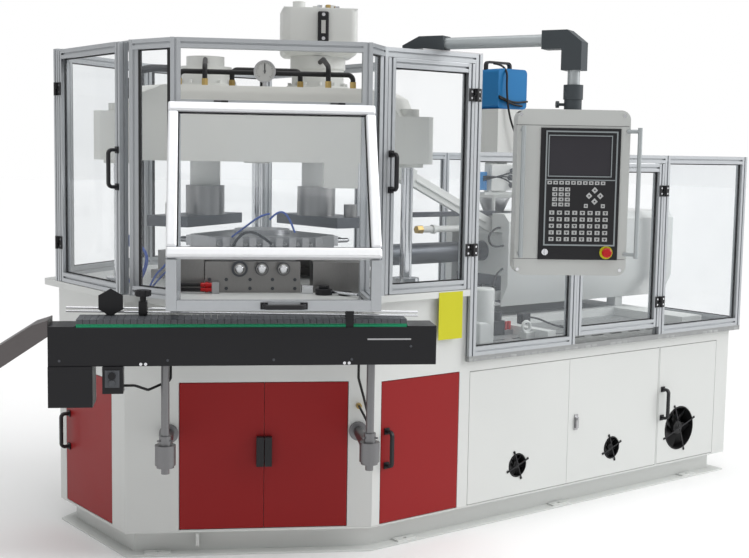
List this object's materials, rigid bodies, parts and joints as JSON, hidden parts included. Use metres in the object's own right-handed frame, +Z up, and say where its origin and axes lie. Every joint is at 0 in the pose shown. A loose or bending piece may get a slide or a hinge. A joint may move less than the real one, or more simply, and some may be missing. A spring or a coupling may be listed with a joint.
{
  "type": "injection blow moulding machine",
  "caption": "Three-station injection blow moulding machine with a guarded clamping head, bottle conveyor, lifting hood, swinging operator panel and sliding injection unit.",
  "frame": {"origin": "index axis of the turret at floor level, on the underside of the plinth", "axes": "+X along the long front face towards the injection end, +Y from the front face into the machine, +Z up"},
  "size_m": [4.2125, 2.4954, 2.42],
  "materials": {
    "white_paint": "semi-gloss",
    "red_paint": "semi-gloss",
    "black_paint": "satin",
    "blue_paint": "semi-gloss",
    "head_paint": "semi-gloss",
    "tank_paint": "satin",
    "unit_paint": "satin",
    "guard_aluminium": "anodised",
    "light_aluminium": "anodised",
    "clear_sheet": "clear",
    "steel": "machined",
    "dark_steel": "oiled",
    "tooling_steel": "machined",
    "bright_chrome": "polished",
    "stainless": "brushed",
    "brass_fitting": "satin",
    "black_rubber": "matt",
    "black_plastic": "matt",
    "grey_plastic": "matt",
    "case_grey": "satin",
    "stop_red": "gloss",
    "beacon_red": "gloss",
    "fan_black": "matt"
  },
  "bodies": {
    "machine": {"plinth": "white_paint", "cabinet": "white_paint", "table_top": "white_paint", "deck_floor": "white_paint", "hydraulic_unit": "unit_paint", "guard_frame": "guard_aluminium", "guard_panes": "clear_sheet", "hinge_leaves": "black_plastic", "tie_columns": "bright_chrome", "crosshead": "head_paint", "clamp_cylinders": "tank_paint", "lower_tooling": "tooling_steel", "index_housing": "dark_steel", "hose_fittings": "brass_fitting", "hoses": "black_rubber", "cables": "black_rubber", "pressure_gauge": "stainless", "conveyor_sides": "black_paint", "conveyor_belt": "grey_plastic", "guide_rails": "bright_chrome", "drive_boxes": "black_paint", "bottle_chute": "stainless", "conveyor_supports": "steel", "arm_socket": "steel", "injection_bed": "white_paint"},
    "left_end_door": {"left_end_door": "red_paint"},
    "stripping_door_left": {"stripping_door_left": "red_paint"},
    "stripping_door_right": {"stripping_door_right": "red_paint"},
    "front_red_door": {"front_red_door": "red_paint"},
    "front_door_1": {"front_door_1": "white_paint"},
    "front_door_2": {"front_door_2": "white_paint"},
    "front_door_3": {"front_door_3": "white_paint"},
    "left_guard_door": {"left_guard_door": "guard_aluminium"},
    "front_guard_door": {"front_guard_door": "guard_aluminium"},
    "deck_guard_door": {"deck_guard_door": "guard_aluminium"},
    "hood": {"hood_frame": "light_aluminium"},
    "turret": {"turret": "steel"},
    "injection_clamp_ram": {"upper_mould_injection": "dark_steel"},
    "blow_clamp_ram": {"upper_mould_blow": "dark_steel"},
    "stripper": {"stripper_plate": "steel"},
    "fan_1": {"fan_1": "fan_black"},
    "fan_2": {"fan_2": "fan_black"},
    "fan_3": {"fan_3": "fan_black"},
    "latch": {"door_latch": "steel"},
    "needle": {"gauge_needle": "black_plastic"},
    "drive_roller": {"drive_roller": "black_plastic"},
    "idler_roller": {"idler_roller": "black_plastic"},
    "panel_arm": {"panel_arm": "unit_paint"},
    "panel": {"panel_case": "case_grey", "panel_face": "black_plastic"},
    "stop_button": {"stop_button": "stop_red"},
    "key_switch": {"key_switch": "bright_chrome"},
    "injection_carriage": {"injection_carriage": "dark_steel", "unit_cover": "white_paint", "beacon": "beacon_red", "hopper_frame": "tank_paint", "hopper": "stainless", "loader": "blue_paint"},
    "injection_screw": {"injection_screw": "steel"},
    "slide_gate": {"slide_gate": "steel"}
  },
  "joints": [
    {"name": "left_end_door_hinge", "type": "hinge", "parent": "machine", "child": "left_end_door", "pos_m": [-0.87, -0.199, 0.735], "axis": [0, 0, 1], "range_deg": [0, 88]},
    {"name": "stripping_door_left_hinge", "type": "hinge", "parent": "machine", "child": "stripping_door_left", "pos_m": [-0.67473, -0.44067, 0.741], "axis": [0, 0, -1], "range_deg": [0, 84]},
    {"name": "stripping_door_right_hinge", "type": "hinge", "parent": "machine", "child": "stripping_door_right", "pos_m": [-0.07025, -0.78967, 0.741], "axis": [0, 0, 1], "range_deg": [0, 84]},
    {"name": "front_red_door_hinge", "type": "hinge", "parent": "machine", "child": "front_red_door", "pos_m": [0.506, -0.846, 0.735], "axis": [0, 0, 1], "range_deg": [0, 88]},
    {"name": "front_door_1_hinge", "type": "hinge", "parent": "machine", "child": "front_door_1", "pos_m": [0.581, -0.846, 0.729], "axis": [0, 0, -1], "range_deg": [0, 88]},
    {"name": "front_door_2_hinge", "type": "hinge", "parent": "machine", "child": "front_door_2", "pos_m": [1.886, -0.846, 0.729], "axis": [0, 0, 1], "range_deg": [0, 88]},
    {"name": "front_door_3_hinge", "type": "hinge", "parent": "machine", "child": "front_door_3", "pos_m": [2.36, -0.846, 0.729], "axis": [0, 0, 1], "range_deg": [0, 88]},
    {"name": "left_guard_door_hinge", "type": "hinge", "parent": "machine", "child": "left_guard_door", "pos_m": [-0.895, 0.302, 1.968], "axis": [0, 0, -1], "range_deg": [0, 100]},
    {"name": "front_guard_door_hinge", "type": "hinge", "parent": "machine", "child": "front_guard_door", "pos_m": [0.545, -0.885, 1.968], "axis": [0, 0, 1], "range_deg": [0, 50]},
    {"name": "deck_guard_door_hinge", "type": "hinge", "parent": "machine", "child": "deck_guard_door", "pos_m": [1.85, -0.885, 1.541], "axis": [0, 0, 1], "range_deg": [0, 95]},
    {"name": "hood_hinge", "type": "hinge", "parent": "machine", "child": "hood", "pos_m": [-0.4575, -0.79241, 1.895], "axis": [-0.866, 0.5, 0], "range_deg": [0, 75]},
    {"name": "turret_index", "type": "hinge", "parent": "machine", "child": "turret", "pos_m": [0, 0, 1.292], "axis": [0, 0, 1], "continuous": true},
    {"name": "injection_clamp_stroke", "type": "slide", "parent": "machine", "child": "injection_clamp_ram", "axis": [0, 0, 1], "range_m": [-0.025, 0.09]},
    {"name": "blow_clamp_stroke", "type": "slide", "parent": "machine", "child": "blow_clamp_ram", "axis": [0, 0, 1], "range_m": [-0.025, 0.09]},
    {"name": "stripper_stroke", "type": "slide", "parent": "machine", "child": "stripper", "axis": [-0.5, -0.866, 0], "range_m": [0, 0.075]},
    {"name": "fan_1_spin", "type": "hinge", "parent": "front_door_1", "child": "fan_1", "pos_m": [0.891, -0.83, 0.254], "axis": [0, -1, 0], "continuous": true},
    {"name": "fan_2_spin", "type": "hinge", "parent": "front_door_2", "child": "fan_2", "pos_m": [1.549, -0.83, 0.25], "axis": [0, -1, 0], "continuous": true},
    {"name": "fan_3_spin", "type": "hinge", "parent": "front_door_3", "child": "fan_3", "pos_m": [2.077, -0.83, 0.285], "axis": [0, -1, 0], "continuous": true},
    {"name": "latch_turn", "type": "hinge", "parent": "front_door_2", "child": "latch", "pos_m": [1.28, -0.855, 0.43], "axis": [0, -1, 0], "range_deg": [0, 90]},
    {"name": "needle_swing", "type": "hinge", "parent": "machine", "child": "needle", "pos_m": [-0.22603, -0.36949, 2.052], "axis": [-0.5, -0.866, 0], "range_deg": [-130, 130]},
    {"name": "drive_roller_spin", "type": "hinge", "parent": "machine", "child": "drive_roller", "pos_m": [-1.1276, -0.61107, 0.985], "axis": [-0.5, -0.866, 0], "continuous": true},
    {"name": "idler_roller_spin", "type": "hinge", "parent": "machine", "child": "idler_roller", "pos_m": [-0.16025, -1.16957, 0.985], "axis": [-0.5, -0.866, 0], "continuous": true},
    {"name": "panel_arm_swivel", "type": "hinge", "parent": "machine", "child": "panel_arm", "pos_m": [0.322, -0.725, 2.18], "axis": [0, 0, 1], "range_deg": [-12, 25]},
    {"name": "panel_swivel", "type": "hinge", "parent": "panel_arm", "child": "panel", "pos_m": [0.61, -1.395, 1.917], "axis": [0, 0, 1], "range_deg": [-40, 40]},
    {"name": "stop_button_press", "type": "slide", "parent": "panel", "child": "stop_button", "axis": [0.5736, 0.8192, 0], "range_m": [0, 0.005], "stiffness_N_per_m": 800},
    {"name": "key_turn", "type": "hinge", "parent": "panel", "child": "key_switch", "pos_m": [0.48974, -1.37671, 1.317], "axis": [-0.5736, -0.8192, 0], "range_deg": [0, 90]},
    {"name": "injection_carriage_stroke", "type": "slide", "parent": "machine", "child": "injection_carriage", "axis": [1, 0, 0], "range_m": [0, 0.08]},
    {"name": "screw_spin", "type": "hinge", "parent": "injection_carriage", "child": "injection_screw", "pos_m": [1.5, 0, 1.19], "axis": [1, 0, 0], "continuous": true},
    {"name": "gate_stroke", "type": "slide", "parent": "injection_carriage", "child": "slide_gate", "axis": [0, 1, 0], "range_m": [0, 0.11]}
  ],
  "couplings": [
    {"joint": "idler_roller_spin", "follows": "drive_roller_spin", "ratio": 1}
  ]
}
